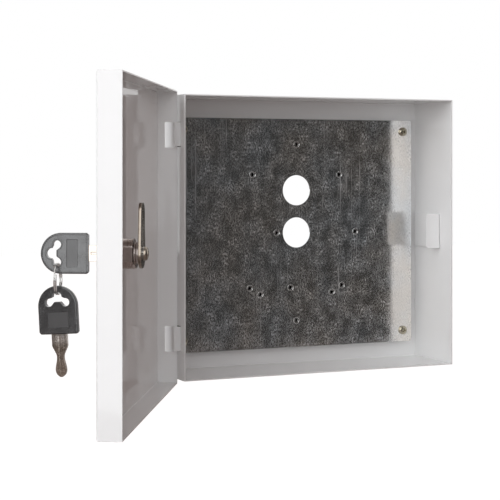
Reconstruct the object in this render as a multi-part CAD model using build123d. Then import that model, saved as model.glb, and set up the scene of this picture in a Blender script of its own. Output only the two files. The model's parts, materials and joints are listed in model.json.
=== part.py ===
from build123d import *
import math
import os

# Wall housing for an alarm keypad, in millimetres. The rear face lies on Y = 0, the open front looks
# towards -Y, X runs to the right and Z up. The origin is the centre of the wall-fixing holes.

# Box
WIDTH = 240.0
HEIGHT = 220.0
DEPTH = 60.0
SHEET = 1.0
BEND_R = 1.5
FRONT_Y = -DEPTH
LEFT_X = -WIDTH / 2
RIGHT_X = WIDTH / 2

# Openings in the back panel
FIXING_SPACING_X = 160.0
FIXING_SPACING_Z = 120.0
FIXING_HOLE_R = 2.75
CABLE_SLOT_W = 30.0
CABLE_SLOT_H = 72.0
CABLE_SLOT_X = 3.0

# Mounting plate, held off the back panel by four posts
PLATE_W = 220.0
PLATE_H = 189.0
PLATE_Z = -0.5
POST_H = 8.0
POST_FLATS = 7.0
POST_HOLE_R = 2.0
PLATE_REAR_Y = -SHEET - POST_H
PLATE_FRONT_Y = PLATE_REAR_Y - SHEET
SCREW_X = 101.5
SCREW_Z = 85.0
SCREW_HOLE_R = 2.3
CABLE_HOLE_R = 12.5
CABLE_PITCH = 35.0
KEYPAD_HOLE_R = 1.65
UPRIGHT_PAIR = 146.0
UPPER_PAIR = (80.0, 48.0)
LOWER_PAIR = (85.0, -45.0)
WIDE_LOW_PAIR = (66.0, -50.5)
MIDDLE_PAIR = (73.5, 18.5)
SINGLE_HOLE = (-5.5, -45.5)

# Pan-head screws
PAN_HEAD_R = 3.7
PAN_HEAD_H = 2.4
PAN_SHANK_R = 1.95
PAN_SHANK_L = 8.6
CROSS_W = 0.9
CROSS_L = 4.0
CROSS_DEPTH = 1.2

# Catch for the cam, on the right wall
CATCH_H = 29.0
CATCH_Z = 0.5
CATCH_LIP_X = 105.5
CATCH_FRONT_Y = -42.6
CATCH_REAR_Y = -2.6

# Door pan, drawn closed
SIDE_GAP = 1.0
TOP_GAP = 2.0
DOOR_W = WIDTH + 2 * (SIDE_GAP + SHEET)
DOOR_H = HEIGHT + 2 * (TOP_GAP + SHEET)
DOOR_D = 16.3
DOOR_INNER_Y = FRONT_Y - 1.0
DOOR_OUTER_Y = DOOR_INNER_Y - SHEET
RIM_Y = DOOR_OUTER_Y + DOOR_D

# Hooks in the left wall and their slots in the door's hinge side
HOOK_H = 18.4
HOOK_Z = (79.4, -78.0)
HOOK_ROOT_Y = FRONT_Y + 8.7
HOOK_REACH = 4.7
HOOK_TIP_Y = FRONT_Y + 14.0
HOOK_BEND_R = 1.0
HOOK_WINDOW_REAR_Y = FRONT_Y + 19.8
SLOT_STRIP = 2.4
SLOT_W = 7.3
SLOT_OVER = 0.3
SLOT_UNDER = 0.9
HINGE_X = LEFT_X - 2.1
HINGE_Y = FRONT_Y + 13.0
OPEN_ANGLE = 119.4

# Cam lock, on its own axis: distances along it start at the door's inner face and run inwards
LOCK_X = 85.0
LOCK_Z = -0.7
BEZEL_R = 11.6
BEZEL_H = 2.2
BARREL_R = 9.9
BARREL_FLATS = 16.8
BARREL_END = 16.4
BARREL_BORE_R = 6.25
STOP_ROOT_R = 7.6
STOP_H = 1.2
NUT_FLATS = 25.0
NUT_H = 4.0
NUT_HOLE_R = 9.95
TOOTH_WASHER_T = 0.8
TOOTH_WASHER_R = 13.1
PLUG_R = 6.2
PLUG_HEAD_R = 8.0
PLUG_FACE = -2.9
PLUG_HEAD_REAR = -1.4
PLUG_END = 16.0
SQUARE = 7.6
SQUARE_R = 4.9
SQUARE_END = 21.8
KEYWAY_W = 2.4
KEYWAY_H = 7.7
KEYWAY_END = 16.5
MOUTH_H = 10.8
MOUTH_END = 0.2
WAFER_T = 1.1
WAFER_W = 5.8
WAFER_COUNT = 5
WAFER_PITCH = 2.5
WAFER_FIRST = 2.2
TURN_DEG = 90.0
LUG_R = 9.4
LUG_DEG = 84.0
STOP_PLAY_DEG = 3.0
STOP_WASHER_R = 7.2
STOP_WASHER_T = 1.2
STOP_WASHER_START = 16.7
SPACER_R = 6.5
SPACER_START = 17.95
SPACER_END = 19.95
CAM_START = 20.0
CAM_T = 2.0
CAM_REACH = 32.2
CAM_ROOT_R = 9.4
CAM_TIP_W = 14.0
CAM_TIP_R = 5.5
CAM_SCREW_HEAD_R = 4.4
CAM_SCREW_HEAD_H = 2.7
CAM_WASHER_T = 0.8
CAM_WASHER_R = 4.2

# Keys: X runs from the head towards the tip, Y across the blade, Z through its thickness
HEAD_L = 30.7
HEAD_W = 26.0
HEAD_T = 4.2
HEAD_CORNER_R = 1.2
RIM_W = 1.2
FACE_DEPTH = 0.45
SIDE_LOBE_R = 2.65
SIDE_LOBE = (-20.1, 5.6)
END_LOBE_R = 3.25
END_LOBE_X = -23.75
CUT_FLAT_X = -20.5
BAR_PANEL = (-10.5, 6.9, 17.6)
BROAD_PANEL = (-9.1, 9.6, 13.4)
PANEL_DEPTH = 0.35
BLADE_T = 2.0
SHOULDER_W = 10.4
SHOULDER_L = 7.3
WAIST_W = 4.7
WAIST_X = 14.0
SWELL_W = 7.0
SWELL_X = 21.0
BLADE_L = 27.2
TANG_L = 12.0
TANG_W = 6.0
GROOVE_W = 1.5
GROOVE_DEPTH = 0.45
KEY_STANDOFF = 11.7

# Split ring through both heads, and the second key on it
RING_R = 9.75
RING_WIRE_R = 0.55
RING_PITCH = 1.15
RING_TURNS = 1.9
RING_STEPS = 44
RING_TURN = 182.0
RING_PLAY = 1.2
SPARE_TILT = 3.2
SPARE_YAW = -8.0

EPS = 0.01
LOCK = Plane(origin=(LOCK_X, DOOR_INNER_Y, LOCK_Z), x_dir=(1, 0, 0), z_dir=(0, 1, 0))
HINGE = Axis((HINGE_X, HINGE_Y, 0), (0, 0, 1))
KEY_PLANE = Plane(origin=(LOCK_X, DOOR_OUTER_Y - KEY_STANDOFF, LOCK_Z), x_dir=(0, 1, 0), z_dir=(1, 0, 0))


def opened(part):
    """Turns a door part from the closed place, where it is drawn, to the open place."""
    return part.rotate(HINGE, -OPEN_ANGLE)


def round_bar(radius, start, end):
    """A cylinder about the Z axis between two heights."""
    return Pos(0, 0, start) * extrude(Circle(radius), end - start)


def square_bar(side, start, end):
    """A square bar about the Z axis between two heights."""
    return Pos(0, 0, start) * extrude(Rectangle(side, side), end - start)


def sided_bar(radius, sides, start, end, taper=0):
    """A many-sided bar about the Z axis between two heights, with its corners on the radius."""
    return Pos(0, 0, start) * extrude(RegularPolygon(radius, sides), end - start, taper=taper)


def sector(radius, from_deg, to_deg, start, end):
    """A wedge of a disc about the Z axis, between two angles and two heights."""
    first = Vector(radius, 0).rotate(Axis.Z, from_deg)
    middle = Vector(radius, 0).rotate(Axis.Z, (from_deg + to_deg) / 2)
    last = Vector(radius, 0).rotate(Axis.Z, to_deg)
    outline = Line((0, 0), first) + ThreePointArc(first, middle, last) + Line(last, (0, 0))
    return Pos(0, 0, start) * extrude(make_face(outline), end - start)


def folded_strip(points, radius, height, z):
    """A flat strip of sheet stood on edge and folded along a route in plan."""
    route = FilletPolyline(*[(x, y, z) for x, y in points], radius=radius)
    start = Plane(origin=route @ 0, x_dir=(0, 0, 1), z_dir=route % 0)
    return sweep(start * Rectangle(height, SHEET), path=route)


def folded_pan(width, depth, height):
    """A sheet pan open towards +Y: its floor lies on Y = 0 outside, its corner seams are welded."""
    block = Pos(0, depth / 2, 0) * Box(width, depth, height)
    floor = block.faces().sort_by(Axis.Y)[0]
    block = fillet(floor.edges(), BEND_R)
    mouth = block.faces().sort_by(Axis.Y)[-1]
    return offset(block, amount=-SHEET, openings=mouth)


def hole_row(radius, places, y_from, y_to):
    """Round cutters along Y at places given as X and Z."""
    return [Pos(x, (y_from + y_to) / 2, z) * Rot(90, 0, 0) * Cylinder(radius, abs(y_to - y_from))
            for x, z in places]


def four_places(dx, dz, z):
    """The corners of a rectangle that is centred on X = 0."""
    return [(sx * dx, z + sz * dz) for sx in (-1, 1) for sz in (-1, 1)]


def door_hook(z):
    """The J-shaped tongue that is cut from the left wall and bent outwards."""
    wall_x = LEFT_X + SHEET / 2
    points = [(wall_x, HOOK_ROOT_Y - 2.5), (wall_x, HOOK_ROOT_Y),
              (LEFT_X - HOOK_REACH, HOOK_ROOT_Y), (LEFT_X - HOOK_REACH, HOOK_TIP_Y)]
    return folded_strip(points, HOOK_BEND_R, HOOK_H, z)


def housing():
    """Back panel and four walls of one sheet, with the two door hooks."""
    box = Rot(0, 0, 180) * folded_pan(WIDTH, DEPTH, HEIGHT)
    slot = Pos(CABLE_SLOT_X, 0, CABLE_PITCH / 2) * Rot(90, 0, 0) * extrude(
        SlotOverall(CABLE_SLOT_H, CABLE_SLOT_W, rotation=90), 4 * SHEET, both=True)
    box -= slot
    box -= hole_row(FIXING_HOLE_R, four_places(FIXING_SPACING_X / 2, FIXING_SPACING_Z / 2, 0), -3, 1)
    window_front = HOOK_ROOT_Y - HOOK_BEND_R
    window_l = HOOK_WINDOW_REAR_Y - window_front
    for z in HOOK_Z:
        box -= Pos(LEFT_X, window_front + window_l / 2, z) * Box(4 * SHEET, window_l, HOOK_H + 0.8)
        box += door_hook(z)
    return box


def strike_bracket():
    """Bent catch: one leg lies on the right wall, the lip stands across the cam's path."""
    leg_x = RIGHT_X - SHEET - SHEET / 2
    lip_y = CATCH_FRONT_Y + SHEET / 2
    points = [(leg_x, CATCH_REAR_Y), (leg_x, lip_y), (CATCH_LIP_X, lip_y)]
    bracket = folded_strip(points, 1.5, CATCH_H, CATCH_Z)
    corners = bracket.edges().filter_by(Axis.Y).group_by(Axis.X)[0]
    return chamfer(corners, 1.5)


def mounting_plate():
    """Galvanised plate with the cable holes and the keypad's fixing holes."""
    middle = (PLATE_FRONT_Y + PLATE_REAR_Y) / 2
    plate = Pos(0, middle, PLATE_Z) * Box(PLATE_W, SHEET, PLATE_H)
    plate = chamfer(plate.edges().filter_by(Axis.Y), 1.0)
    near, far = PLATE_FRONT_Y - 1, PLATE_REAR_Y + 1
    plate -= hole_row(CABLE_HOLE_R, [(0, 0), (0, CABLE_PITCH)], near, far)
    for x, z in four_places(SCREW_X, SCREW_Z, PLATE_Z):
        plate -= Pos(x, 0, z) * Rot(90, 0, 0) * sided_bar(SCREW_HOLE_R, 16, -far, -near)
    keypad = [(0, UPRIGHT_PAIR / 2), (0, -UPRIGHT_PAIR / 2), SINGLE_HOLE]
    for spacing, z in (UPPER_PAIR, LOWER_PAIR, WIDE_LOW_PAIR):
        keypad += [(-spacing / 2, z), (spacing / 2, z)]
    spacing, centre_x = MIDDLE_PAIR
    keypad += [(centre_x - spacing / 2, 0), (centre_x + spacing / 2, 0)]
    return plate - hole_row(KEYPAD_HOLE_R, keypad, near, far)


def plate_standoffs():
    """Four hexagonal tapped posts between the back panel and the plate."""
    post = extrude(RegularPolygon(POST_FLATS / 2, 6, major_radius=False), POST_H)
    post -= sided_bar(POST_HOLE_R, 16, -EPS, POST_H + EPS)
    return Compound([Pos(x, -SHEET, z) * Rot(90, 0, 0) * post
                     for x, z in four_places(SCREW_X, SCREW_Z, PLATE_Z)])


def pan_screw(head_r, head_h, shank_r, shank_l):
    """Pan-head screw with a cross recess; the head's seat is on Z = 0 and the shank runs down."""
    rise = head_h * 0.45
    head = sided_bar(head_r, 20, 0, rise) + sided_bar(head_r, 20, rise, head_h, taper=45)
    screw = head + sided_bar(shank_r, 12, -shank_l, EPS)
    cross = Box(CROSS_L, CROSS_W, 2 * CROSS_DEPTH) + Box(CROSS_W, CROSS_L, 2 * CROSS_DEPTH)
    return screw - Pos(0, 0, head_h) * cross


def plate_screws():
    """The four screws that hold the plate on its posts, each turned its own way."""
    screws = []
    for index, (x, z) in enumerate(four_places(SCREW_X, SCREW_Z, PLATE_Z)):
        screw = pan_screw(PAN_HEAD_R, PAN_HEAD_H, PAN_SHANK_R, PAN_SHANK_L)
        screws.append(Pos(x, PLATE_FRONT_Y, z) * Rot(90, 0, 0) * Rot(0, 0, 35 * index) * screw)
    return Compound(screws)


def double_d(radius, flats, start, end):
    """A bar with two flats, about the Z axis."""
    return round_bar(radius, start, end) & Pos(0, 0, (start + end) / 2) * Box(flats, 3 * radius, end - start)


def door_panel():
    """Door pan with the two hook slots in its hinge side and the lock's hole."""
    pan = Pos(0, DOOR_OUTER_Y, 0) * folded_pan(DOOR_W, DOOR_D, DOOR_H)
    slot_y = RIM_Y - SLOT_STRIP - SLOT_W / 2
    slot_h = HOOK_H + SLOT_OVER + SLOT_UNDER
    for z in HOOK_Z:
        slot_z = z + (SLOT_OVER - SLOT_UNDER) / 2
        pan -= Pos(-DOOR_W / 2, slot_y, slot_z) * Box(4 * SHEET, SLOT_W, slot_h)
    return pan - LOCK * double_d(BARREL_R + 0.1, BARREL_FLATS + 0.2, -3, 3)


def lock_housing():
    """Die-cast barrel with a domed bezel, wafer channels and a half-round stop on its end."""
    bezel = round_bar(BEZEL_R, -SHEET - BEZEL_H, -SHEET)
    bezel = chamfer(bezel.edges().sort_by(Axis.Z)[0], 0.9)
    stop_to = 90 - LUG_DEG / 2 - STOP_PLAY_DEG
    stop_deg = 360 - LUG_DEG - TURN_DEG - 2 * STOP_PLAY_DEG
    ring = sector(BARREL_R, stop_to - stop_deg, stop_to, BARREL_END - EPS, BARREL_END + STOP_H)
    ring &= double_d(BARREL_R, BARREL_FLATS, BARREL_END - 1, BARREL_END + 2)
    ring -= round_bar(STOP_ROOT_R, BARREL_END - 1, BARREL_END + 2)
    body = bezel + double_d(BARREL_R, BARREL_FLATS, -SHEET - EPS, BARREL_END) + ring
    body -= round_bar(BARREL_BORE_R, PLUG_FACE - 2, BARREL_END + 1)
    body -= round_bar(PLUG_HEAD_R + 0.06, PLUG_FACE - 2, PLUG_HEAD_REAR + 0.05)
    channel_l = WAFER_COUNT * WAFER_PITCH + 1
    channel = Pos(0, 0, WAFER_FIRST - 1 + channel_l / 2) * Box(WAFER_W + 0.4, 14.6, channel_l)
    return body - channel


def nut_washer():
    """Washer with outward teeth, each one a small wedge."""
    washer = sided_bar(TOOTH_WASHER_R - 1.2, 24, 0, TOOTH_WASHER_T)
    for index in range(12):
        tooth = Pos(TOOTH_WASHER_R - 1.4, 0, TOOTH_WASHER_T / 2) * Box(2.8, 3.0, TOOTH_WASHER_T)
        washer += Rot(0, 0, 30 * index) * tooth
    return washer - sided_bar(NUT_HOLE_R + 0.1, 36, -1, 2)


def lock_nut():
    """Thin hexagon nut with chamfered corners."""
    start, end = TOOTH_WASHER_T, TOOTH_WASHER_T + NUT_H
    nut = Pos(0, 0, start) * extrude(RegularPolygon(NUT_FLATS / 2, 6, major_radius=False), NUT_H)
    corner_r = NUT_FLATS / 2 / math.cos(math.radians(30))
    blank = sided_bar(corner_r + 0.1, 24, start, end - 0.9)
    blank += sided_bar(corner_r + 0.1, 24, end - 0.9, end, taper=58)
    return (nut & blank) - sided_bar(NUT_HOLE_R, 36, start - 1, end + 1)


def lock_plug():
    """Turning cylinder: head, keyway with a wide mouth, wafer slots, square end with a tapped hole."""
    plug = round_bar(PLUG_HEAD_R, PLUG_FACE, PLUG_HEAD_REAR)
    plug = chamfer(plug.edges().filter_by(GeomType.CIRCLE).sort_by(Axis.Z)[0], 0.4)
    plug += sided_bar(PLUG_R, 36, PLUG_HEAD_REAR - EPS, PLUG_END)
    square = square_bar(SQUARE, PLUG_END - EPS, SQUARE_END)
    plug += chamfer(square.edges().filter_by(Axis.Z), 0.7)
    plug -= Pos(0, 0, (PLUG_FACE - 1 + KEYWAY_END) / 2) * Box(KEYWAY_W, KEYWAY_H, KEYWAY_END - PLUG_FACE + 1)
    mouth = loft([Pos(0, 0, PLUG_FACE) * Rectangle(KEYWAY_W, MOUTH_H),
                  Pos(0, 0, MOUTH_END) * Rectangle(KEYWAY_W, KEYWAY_H)])
    plug -= mouth
    plug -= sided_bar(PAN_SHANK_R + 0.1, 16, KEYWAY_END + 1, SQUARE_END + 1)
    for index in range(WAFER_COUNT):
        plug -= Pos(0, 0, WAFER_FIRST + index * WAFER_PITCH) * Box(WAFER_W + 0.2, 3 * PLUG_R, WAFER_T + 0.2)
    return plug


def lock_wafers():
    """Five wafers, flush with the plug while the key is in."""
    wafer = Box(WAFER_W, 2 * PLUG_R - 0.7, WAFER_T)
    wafer = chamfer(wafer.edges().filter_by(Axis.Z), 0.9)
    wafer -= Box(KEYWAY_W + 0.2, KEYWAY_H + 0.2, 2)
    return Compound([Pos(0, 0, WAFER_FIRST + index * WAFER_PITCH) * wafer for index in range(WAFER_COUNT)])


def stop_washer():
    """Washer on the square end; its lug meets the barrel's stop at each end of the quarter turn."""
    start, end = STOP_WASHER_START, STOP_WASHER_START + STOP_WASHER_T
    washer = round_bar(STOP_WASHER_R, start, end)
    washer += sector(LUG_R, 90 - LUG_DEG / 2, 90 + LUG_DEG / 2, start, end)
    return washer - square_bar(SQUARE + 0.2, start - 1, end + 1)


def cam_spacer():
    """Plain ring between the stop washer and the cam."""
    ring = sided_bar(SPACER_R, 36, SPACER_START, SPACER_END)
    return ring - sided_bar(SQUARE_R + 0.2, 24, SPACER_START - 1, SPACER_END + 1)


def lock_cam():
    """Flat cam, pointing up while unlocked: round about the square hole, narrower at its tip."""
    tip_y = -CAM_REACH + CAM_TIP_R
    tip = [Pos(side * (CAM_TIP_W / 2 - CAM_TIP_R), tip_y) * Circle(CAM_TIP_R) for side in (-1, 1)]
    outline = make_hull((Circle(CAM_ROOT_R) + tip).edges())
    cam = Pos(0, 0, CAM_START) * extrude(outline, CAM_T)
    return cam - square_bar(SQUARE + 0.2, CAM_START - 1, CAM_START + CAM_T + 1)


def cam_spring_washer():
    """Split spring washer under the screw's head."""
    start = CAM_START + CAM_T + 0.03
    washer = sided_bar(CAM_WASHER_R, 24, start, start + CAM_WASHER_T)
    washer -= sided_bar(PAN_SHANK_R + 0.25, 16, start - 1, start + 2)
    return washer - Pos(CAM_WASHER_R, 0, start) * Rot(0, 25, 0) * Box(2 * CAM_WASHER_R, 0.5, 4)


def cam_screw():
    """Screw in the plug's square end that holds the cam."""
    seat = CAM_START + CAM_T + CAM_WASHER_T + 0.06
    shank_l = seat - KEYWAY_END - 1.2
    return Pos(0, 0, seat) * pan_screw(CAM_SCREW_HEAD_R, CAM_SCREW_HEAD_H, PAN_SHANK_R, shank_l)


def head_outline(inset):
    """D-shaped outline of a key head, drawn smaller by an inset."""
    radius = HEAD_W / 2 - inset
    arc_x = -HEAD_L + HEAD_W / 2
    corner = max(HEAD_CORNER_R - inset, 0.4)
    points = [(-inset, -radius + corner), (-inset, radius - corner), (-inset - corner, radius)]
    for index in range(21):
        angle = math.radians(90 + 9 * index)
        points.append((arc_x + radius * math.cos(angle), radius * math.sin(angle)))
    points.append((-inset - corner, -radius))
    return make_face(Polyline(*points, close=True))


def ring_cut_out(grow):
    """Three round lobes joined in the middle, with a blunt step towards the blade."""
    lobe_x, lobe_y = SIDE_LOBE
    shape = Pos(END_LOBE_X, 0) * RegularPolygon(END_LOBE_R + grow, 16)
    for side in (-1, 1):
        shape += Pos(lobe_x, side * lobe_y) * RegularPolygon(SIDE_LOBE_R + grow, 14)
    flat_x = CUT_FLAT_X + grow
    upper = [(flat_x, 1.85), (lobe_x + 2.0, lobe_y - 1.8), (lobe_x - 2.5, lobe_y - 0.3),
             (END_LOBE_X + 0.2, END_LOBE_R)]
    lower = [(x, -y) for x, y in reversed(upper)]
    return shape + make_face(Polyline(*upper, *lower, close=True))


def key_head():
    """Moulded head: a rim stands round both faces, each face has one plain sunk panel."""
    head = extrude(head_outline(0), HEAD_T / 2, both=True)
    face_z = HEAD_T / 2 - FACE_DEPTH
    inner = head_outline(RIM_W) - ring_cut_out(RIM_W * 0.6)
    for side, panel in ((1, BAR_PANEL), (-1, BROAD_PANEL)):
        head -= Pos(0, 0, side * (face_z + 1)) * extrude(inner, 1, both=True)
        panel_x, panel_l, panel_w = panel
        head -= Pos(panel_x, 0, side * (face_z - PANEL_DEPTH + 1)) * Box(panel_l, panel_w, 2)
    head -= extrude(ring_cut_out(0), HEAD_T, both=True)
    tang = Pos(-TANG_L / 2, 0, 0) * Box(TANG_L, TANG_W, BLADE_T)
    return head - tang


def key_blade():
    """Two-sided blade: broad shoulder, waist, swell and pointed tip, grooved on both faces."""
    half = [(SHOULDER_L, SHOULDER_W / 2), (WAIST_X, WAIST_W / 2), (SWELL_X, SWELL_W / 2), (BLADE_L, 0.6)]
    upper = (Line((0, SHOULDER_W / 2), half[0])
             + Spline(*half, tangents=[(1, -0.35), (0.55, -1)]))
    lower = mirror(upper, about=Plane.XZ)
    ends = Line((0, SHOULDER_W / 2), (0, -SHOULDER_W / 2)) + Line((BLADE_L, 0.6), (BLADE_L, -0.6))
    blade = extrude(make_face(upper + lower + ends), BLADE_T / 2, both=True)
    blade += Pos(-TANG_L / 2 + EPS, 0, 0) * Box(TANG_L, TANG_W, BLADE_T)
    groove_l = BLADE_L - 3
    for side in (-1, 1):
        blade -= Pos(groove_l / 2 + 1.5, 0, side * BLADE_T / 2) * Box(groove_l, GROOVE_W, 2 * GROOVE_DEPTH)
    return blade


def hanging_places():
    """Centres of the ring's top and bottom wire, and where the second key hangs."""
    lobe_x, lobe_y = SIDE_LOBE
    ring_y = DOOR_OUTER_Y - KEY_STANDOFF + lobe_x
    top_z = LOCK_Z - lobe_y - SIDE_LOBE_R + RING_WIRE_R + RING_PLAY
    bottom_z = top_z - 2 * RING_R
    spare_z = bottom_z + RING_WIRE_R + RING_PLAY - END_LOBE_R + END_LOBE_X
    return ring_y, top_z, bottom_z, spare_z


def key_ring():
    """Split ring: one wire wound almost twice round."""
    ring_y, top_z, _, _ = hanging_places()
    points = []
    for step in range(RING_STEPS + 1):
        turned = RING_TURNS * (step / RING_STEPS - 0.5)
        angle = 2 * math.pi * turned
        points.append((RING_R * math.cos(angle), RING_R * math.sin(angle), RING_PITCH * turned))
    coil = Polyline(*points)
    section = Plane(origin=coil @ 0, z_dir=coil % 0) * RegularPolygon(RING_WIRE_R, 8)
    ring = sweep(section, path=coil, transition=Transition.RIGHT)
    place = Pos(LOCK_X, ring_y, top_z - RING_R) * Rot(90, 0, 0) * Rot(0, 0, RING_TURN)
    return place * ring


def spare_place():
    """Plane of the second key: tip down, its broad panel on the side where the first shows its bar."""
    ring_y, _, bottom_z, spare_z = hanging_places()
    plane = Plane(origin=(LOCK_X, ring_y, spare_z), x_dir=(0, 0, -1), z_dir=(-1, 0, 0))
    pivot = Axis((LOCK_X, ring_y, bottom_z), (1, 0, 0))
    return plane, pivot


def spare(part):
    """Puts a key piece on the ring, tilted and turned a little as it hangs."""
    plane, pivot = spare_place()
    upright = Axis(pivot.position, (0, 0, 1))
    return (plane * part).rotate(pivot, SPARE_TILT).rotate(upright, SPARE_YAW)


NODES = {
    "housing": housing(),
    "strike_bracket": strike_bracket(),
    "mounting_plate": mounting_plate(),
    "plate_standoffs": plate_standoffs(),
    "plate_screws": plate_screws(),
    "door_panel": opened(door_panel()),
    "lock_housing": opened(LOCK * lock_housing()),
    "nut_washer": opened(LOCK * nut_washer()),
    "lock_nut": opened(LOCK * lock_nut()),
    "lock_plug": opened(LOCK * lock_plug()),
    "lock_wafers": opened(LOCK * lock_wafers()),
    "stop_washer": opened(LOCK * stop_washer()),
    "cam_spacer": opened(LOCK * cam_spacer()),
    "lock_cam": opened(LOCK * lock_cam()),
    "cam_spring_washer": opened(LOCK * cam_spring_washer()),
    "cam_screw": opened(LOCK * cam_screw()),
    "key_blade": opened(KEY_PLANE * key_blade()),
    "key_head": opened(KEY_PLANE * key_head()),
    "key_ring": opened(key_ring()),
    "spare_key_blade": opened(spare(key_blade())),
    "spare_key_head": opened(spare(key_head())),
}

os.makedirs("parts", exist_ok=True)
for name, part in NODES.items():
    export_step(part, f"parts/{name}.step")
    print(name, len(part.solids()), round(part.volume, 1))
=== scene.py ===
import json
import math

import bmesh
import bpy
from mathutils import Matrix, Vector


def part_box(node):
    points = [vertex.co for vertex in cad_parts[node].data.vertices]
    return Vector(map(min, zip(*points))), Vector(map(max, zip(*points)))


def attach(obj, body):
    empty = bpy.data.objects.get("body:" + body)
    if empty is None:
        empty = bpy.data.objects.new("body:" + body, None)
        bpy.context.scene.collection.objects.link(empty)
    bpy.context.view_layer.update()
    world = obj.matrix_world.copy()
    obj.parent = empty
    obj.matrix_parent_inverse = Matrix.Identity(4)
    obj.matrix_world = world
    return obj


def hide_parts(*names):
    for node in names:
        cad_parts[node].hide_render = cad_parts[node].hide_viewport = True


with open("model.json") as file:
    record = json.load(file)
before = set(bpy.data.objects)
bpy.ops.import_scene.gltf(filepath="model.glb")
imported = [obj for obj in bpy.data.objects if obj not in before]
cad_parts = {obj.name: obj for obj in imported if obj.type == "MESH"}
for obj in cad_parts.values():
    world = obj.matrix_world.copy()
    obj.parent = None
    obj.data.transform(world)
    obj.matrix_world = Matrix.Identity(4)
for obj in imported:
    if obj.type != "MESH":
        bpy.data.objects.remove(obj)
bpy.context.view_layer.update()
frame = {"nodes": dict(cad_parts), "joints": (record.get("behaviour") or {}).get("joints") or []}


# The camera stands to the left of the box and looks a little past its door, level, at keypad height.
# Its lens is shifted down, as in the photograph, so that the box's upright edges stay upright.
camera_data = bpy.data.cameras.new("camera")
camera = bpy.data.objects.new("camera", camera_data)
bpy.context.scene.collection.objects.link(camera)
camera.location = (-0.537688, -1.101630, 0.052890)
camera.rotation_euler = (math.radians(90), 0, math.radians(-24.409))
SENSOR_MM, PICTURE_PX, FOCAL_PX, DOWN_PX = 36, 500, 1466.166, 81.346
camera_data.sensor_width = SENSOR_MM
camera_data.lens = FOCAL_PX / PICTURE_PX * SENSOR_MM
camera_data.shift_y = -DOWN_PX / PICTURE_PX
camera_data.clip_start = 0.05
camera_data.clip_end = 20
bpy.context.scene.camera = camera
bpy.context.scene.view_settings.view_transform = "Standard"


# The studio: a pale floor that runs into a white background, two tall soft lamps side by side to the
# left of the camera, one high at the left, a small one above the camera, and a weak light all round.
def connect(tree, source, output, target, entry):
    """Joins an output of one node to an entry of another."""
    tree.links.new(source.outputs[output], target.inputs[entry])


world = bpy.data.worlds.new("studio")
bpy.context.scene.world = world
world.use_nodes = True
sky = world.node_tree
sky.nodes.clear()
sky_out = sky.nodes.new("ShaderNodeOutputWorld")
sky_place = sky.nodes.new("ShaderNodeTexCoord")
sky_axes = sky.nodes.new("ShaderNodeSeparateXYZ")
connect(sky, sky_place, "Generated", sky_axes, "Vector")


def sky_ramp(axis, start, first, end, second):
    """A colour of the surroundings that changes along one axis of the direction looked in."""
    ramp = sky.nodes.new("ShaderNodeValToRGB")
    ramp.color_ramp.elements[0].position = start
    ramp.color_ramp.elements[0].color = (*first, 1)
    ramp.color_ramp.elements[1].position = end
    ramp.color_ramp.elements[1].color = (*second, 1)
    connect(sky, sky_axes, axis, ramp, "Fac")
    return ramp.outputs["Color"]


def sky_light(colour):
    """A background shader of a colour, or of a ramp."""
    node = sky.nodes.new("ShaderNodeBackground")
    if isinstance(colour, bpy.types.NodeSocket):
        sky.links.new(colour, node.inputs["Color"])
    else:
        node.inputs["Color"].default_value = (*colour, 1)
    return node.outputs[0]


def sky_choice(factor, first, second):
    """The first shader, or the second where the factor is 1."""
    node = sky.nodes.new("ShaderNodeMixShader")
    sky.links.new(factor, node.inputs[0])
    sky.links.new(first, node.inputs[1])
    sky.links.new(second, node.inputs[2])
    return node.outputs[0]


# The camera sees plain white behind the box. Metal mirrors a dark room in front of it and the white
# behind it, and all the rest gets a weak light that is brighter from the left.
ray = sky.nodes.new("ShaderNodeLightPath")
mirrored = sky.nodes.new("ShaderNodeMath")
mirrored.operation = "MAXIMUM"
sky.links.new(ray.outputs["Is Glossy Ray"], mirrored.inputs[0])
sky.links.new(ray.outputs["Is Transmission Ray"], mirrored.inputs[1])
white = sky_light((1, 1, 1))
room = sky_light(sky_ramp("Z", 0.06, (0.030, 0.029, 0.028), 0.60, (0.34, 0.33, 0.325)))
backdrop_side = sky_ramp("Y", 0.02, (0, 0, 0), 0.20, (1, 1, 1))
dim_side = sky_light(sky_ramp("Z", 0.05, (0.130, 0.072, 0.058), 0.80, (0.42, 0.37, 0.36)))
bright_side = sky_light(sky_ramp("Z", 0.05, (0.38, 0.38, 0.39), 0.80, (0.46, 0.46, 0.47)))
ambient = sky_choice(sky_ramp("X", 0.0, (1, 1, 1), 0.35, (0, 0, 0)), dim_side, bright_side)
seen_in_metal = sky_choice(backdrop_side, room, white)
lit_by = sky_choice(mirrored.outputs[0], ambient, seen_in_metal)
sky.links.new(sky_choice(ray.outputs["Is Camera Ray"], lit_by, white), sky_out.inputs["Surface"])

FLOOR_Z, FLOOR_NEAR, FLOOR_FAR, FLOOR_SIDE = -0.32, -1.3, 5, 4
floor_mesh = bpy.data.meshes.new("floor")
floor_mesh.from_pydata(
    [(-FLOOR_SIDE, FLOOR_NEAR, FLOOR_Z), (FLOOR_SIDE, FLOOR_NEAR, FLOOR_Z),
     (FLOOR_SIDE, FLOOR_FAR, FLOOR_Z), (-FLOOR_SIDE, FLOOR_FAR, FLOOR_Z)], [], [(0, 1, 2, 3)])
floor = bpy.data.objects.new("floor", floor_mesh)
bpy.context.scene.collection.objects.link(floor)
floor_paper = bpy.data.materials.new("floor_paper")
floor_paper.use_nodes = True
tree = floor_paper.node_tree
tree.nodes.clear()
paper_out = tree.nodes.new("ShaderNodeOutputMaterial")
paper = tree.nodes.new("ShaderNodeBsdfDiffuse")
paper.inputs["Color"].default_value = (0.34, 0.30, 0.285, 1)
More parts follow.
